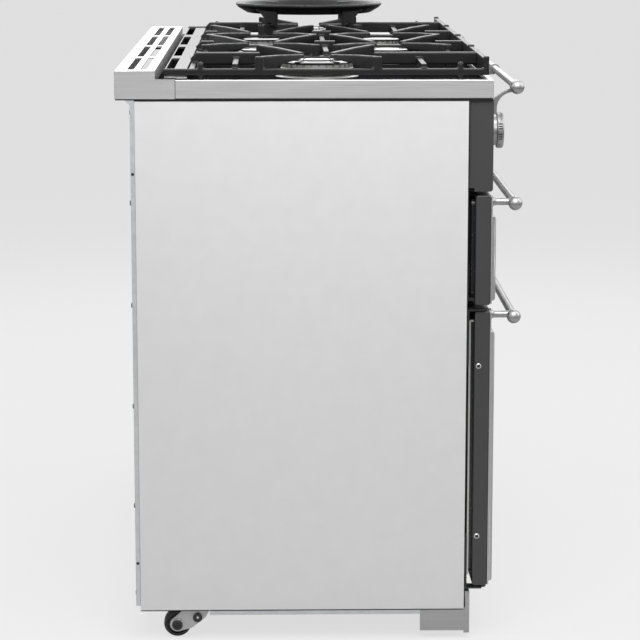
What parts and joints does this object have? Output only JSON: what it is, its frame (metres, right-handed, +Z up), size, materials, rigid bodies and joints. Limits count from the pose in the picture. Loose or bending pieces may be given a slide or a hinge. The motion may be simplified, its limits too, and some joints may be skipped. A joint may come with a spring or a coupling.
{
  "type": "range cooker",
  "caption": "Wide free-standing range cooker: gas hob with cast-iron grates and a wok ring above a drop-down grill door and side-hung oven doors, with towel-bar handles.",
  "frame": {"origin": "middle of the outer box on the floor", "axes": "+X across the width, from the grill door's side towards the tall oven door's side; the front faces -Y; +Z up"},
  "size_m": [1.219, 0.6416, 0.979],
  "materials": {
    "panel_steel": "satin silver-grey lacquer on steel",
    "galvanised": "zinc-coated steel, dull",
    "black_enamel": "semi-gloss black enamel",
    "hob_steel": "brushed stainless steel",
    "brushed_trim": "fine brushed stainless steel",
    "charcoal_enamel": "satin charcoal enamel",
    "polished_steel": "polished steel",
    "oven_enamel": "speckled vitreous enamel",
    "seal_rubber": "matt silicone",
    "rack_chrome": "chromed wire",
    "element_steel": "heat-tinted steel sheath",
    "hinge_steel": "plain steel",
    "brass_pipe": "dull brass",
    "burner_alloy": "cast aluminium, fine grain",
    "cap_enamel": "black vitreous enamel",
    "wheel_rubber": "black moulded nylon",
    "cast_iron": "matt black enamelled cast iron"
  },
  "bodies": {
    "cooker_body": {"side_panel_left": "panel_steel", "side_panel_right": "panel_steel", "back_panel": "galvanised", "base_frame": "galvanised", "front_frame": "black_enamel", "hob_deck": "hob_steel", "hob_surround": "brushed_trim", "rear_vent_trim": "brushed_trim", "control_panel": "brushed_trim", "control_panel_ends": "charcoal_enamel", "hand_rail": "polished_steel", "rail_brackets": "polished_steel", "grill_liner": "oven_enamel", "left_oven_liner": "oven_enamel", "right_oven_liner": "oven_enamel", "oven_seals": "seal_rubber", "oven_racks": "rack_chrome", "heating_elements": "element_steel", "door_hinges": "hinge_steel", "plinth": "brushed_trim", "front_feet": "hinge_steel", "wheel_brackets": "galvanised", "gas_manifold": "brass_pipe", "burner_bowls": "burner_alloy", "burner_crowns": "burner_alloy", "burner_caps": "cap_enamel"},
    "wheel_left": {"wheel_left": "wheel_rubber"},
    "wheel_right": {"wheel_right": "wheel_rubber"},
    "grate_1": {"grate_1": "cast_iron"},
    "grate_2": {"grate_2": "cast_iron"},
    "grate_3": {"grate_3": "cast_iron"},
    "grate_4": {"grate_4": "cast_iron"},
    "wok_ring": {"wok_ring": "cast_iron"},
    "spindle_1": {"spindle_1": "hinge_steel"},
    "knob_1": {"knob_1": "polished_steel"},
    "spindle_2": {"spindle_2": "hinge_steel"},
    "knob_2": {"knob_2": "polished_steel"},
    "spindle_3": {"spindle_3": "hinge_steel"},
    "knob_3": {"knob_3": "polished_steel"},
    "spindle_4": {"spindle_4": "hinge_steel"},
    "knob_7": {"knob_7": "polished_steel"},
    "spindle_5": {"spindle_5": "hinge_steel"},
    "knob_8": {"knob_8": "polished_steel"},
    "spindle_6": {"spindle_6": "hinge_steel"},
    "knob_9": {"knob_9": "polished_steel"},
    "knob_4": {"knob_4": "polished_steel"},
    "knob_5": {"knob_5": "polished_steel"},
    "knob_6": {"knob_6": "polished_steel"},
    "grill_door": {"grill_door_frame": "charcoal_enamel", "grill_door_skin": "brushed_trim", "grill_door_liner": "oven_enamel", "grill_door_handle": "polished_steel"},
    "left_door": {"left_door_frame": "charcoal_enamel", "left_door_skin": "brushed_trim", "left_door_liner": "oven_enamel", "left_door_handle": "polished_steel"},
    "right_door": {"right_door_frame": "charcoal_enamel", "right_door_skin": "brushed_trim", "right_door_liner": "oven_enamel", "right_door_handle": "polished_steel"}
  },
  "joints": [
    {"name": "wheel_left_roll", "type": "hinge", "parent": "cooker_body", "child": "wheel_left", "pos_m": [-0.5823, 0.2317, 0.022], "axis": [1, 0, 0], "continuous": true},
    {"name": "wheel_right_roll", "type": "hinge", "parent": "cooker_body", "child": "wheel_right", "pos_m": [0.5823, 0.2317, 0.022], "axis": [1, 0, 0], "continuous": true},
    {"name": "grate_1_lift", "type": "slide", "parent": "cooker_body", "child": "grate_1", "axis": [0, 0, 1], "range_m": [0, 0.12]},
    {"name": "grate_2_lift", "type": "slide", "parent": "cooker_body", "child": "grate_2", "axis": [0, 0, 1], "range_m": [0, 0.12]},
    {"name": "grate_3_lift", "type": "slide", "parent": "cooker_body", "child": "grate_3", "axis": [0, 0, 1], "range_m": [0, 0.12]},
    {"name": "grate_4_lift", "type": "slide", "parent": "cooker_body", "child": "grate_4", "axis": [0, 0, 1], "range_m": [0, 0.12]},
    {"name": "wok_ring_lift", "type": "slide", "parent": "grate_4", "child": "wok_ring", "axis": [0, 0, 1], "range_m": [0, 0.1]},
    {"name": "knob_1_turn", "type": "hinge", "parent": "cooker_body", "child": "spindle_1", "pos_m": [-0.5, -0.279, 0.817], "axis": [0, -1, 0], "range_deg": [0, 210]},
    {"name": "knob_1_push", "type": "slide", "parent": "spindle_1", "child": "knob_1", "axis": [0, 1, 0], "range_m": [0, 0.004], "stiffness_N_per_m": 400},
    {"name": "knob_2_turn", "type": "hinge", "parent": "cooker_body", "child": "spindle_2", "pos_m": [-0.375, -0.279, 0.817], "axis": [0, -1, 0], "range_deg": [0, 210]},
    {"name": "knob_2_push", "type": "slide", "parent": "spindle_2", "child": "knob_2", "axis": [0, 1, 0], "range_m": [0, 0.004], "stiffness_N_per_m": 400},
    {"name": "knob_3_turn", "type": "hinge", "parent": "cooker_body", "child": "spindle_3", "pos_m": [-0.25, -0.279, 0.817], "axis": [0, -1, 0], "range_deg": [0, 210]},
    {"name": "knob_3_push", "type": "slide", "parent": "spindle_3", "child": "knob_3", "axis": [0, 1, 0], "range_m": [0, 0.004], "stiffness_N_per_m": 400},
    {"name": "knob_7_turn", "type": "hinge", "parent": "cooker_body", "child": "spindle_4", "pos_m": [0.25, -0.279, 0.817], "axis": [0, -1, 0], "range_deg": [0, 210]},
    {"name": "knob_7_push", "type": "slide", "parent": "spindle_4", "child": "knob_7", "axis": [0, 1, 0], "range_m": [0, 0.004], "stiffness_N_per_m": 400},
    {"name": "knob_8_turn", "type": "hinge", "parent": "cooker_body", "child": "spindle_5", "pos_m": [0.375, -0.279, 0.817], "axis": [0, -1, 0], "range_deg": [0, 210]},
    {"name": "knob_8_push", "type": "slide", "parent": "spindle_5", "child": "knob_8", "axis": [0, 1, 0], "range_m": [0, 0.004], "stiffness_N_per_m": 400},
    {"name": "knob_9_turn", "type": "hinge", "parent": "cooker_body", "child": "spindle_6", "pos_m": [0.5, -0.279, 0.817], "axis": [0, -1, 0], "range_deg": [0, 210]},
    {"name": "knob_9_push", "type": "slide", "parent": "spindle_6", "child": "knob_9", "axis": [0, 1, 0], "range_m": [0, 0.004], "stiffness_N_per_m": 400},
    {"name": "knob_4_turn", "type": "hinge", "parent": "cooker_body", "child": "knob_4", "pos_m": [-0.125, -0.279, 0.817], "axis": [0, 1, 0], "range_deg": [0, 270]},
    {"name": "knob_5_turn", "type": "hinge", "parent": "cooker_body", "child": "knob_5", "pos_m": [0, -0.279, 0.817], "axis": [0, 1, 0], "range_deg": [0, 270]},
    {"name": "knob_6_turn", "type": "hinge", "parent": "cooker_body", "child": "knob_6", "pos_m": [0.125, -0.279, 0.817], "axis": [0, 1, 0], "range_deg": [0, 270]},
    {"name": "grill_door_drop", "type": "hinge", "parent": "cooker_body", "child": "grill_door", "pos_m": [-0.30225, -0.266, 0.5565], "axis": [1, 0, 0], "range_deg": [0, 90]},
    {"name": "left_door_swing", "type": "hinge", "parent": "cooker_body", "child": "left_door", "pos_m": [-0.592, -0.262, 0.312], "axis": [0, 0, -1], "range_deg": [0, 110]},
    {"name": "right_door_swing", "type": "hinge", "parent": "cooker_body", "child": "right_door", "pos_m": [0.592, -0.262, 0.4048], "axis": [0, 0, 1], "range_deg": [0, 110]}
  ]
}
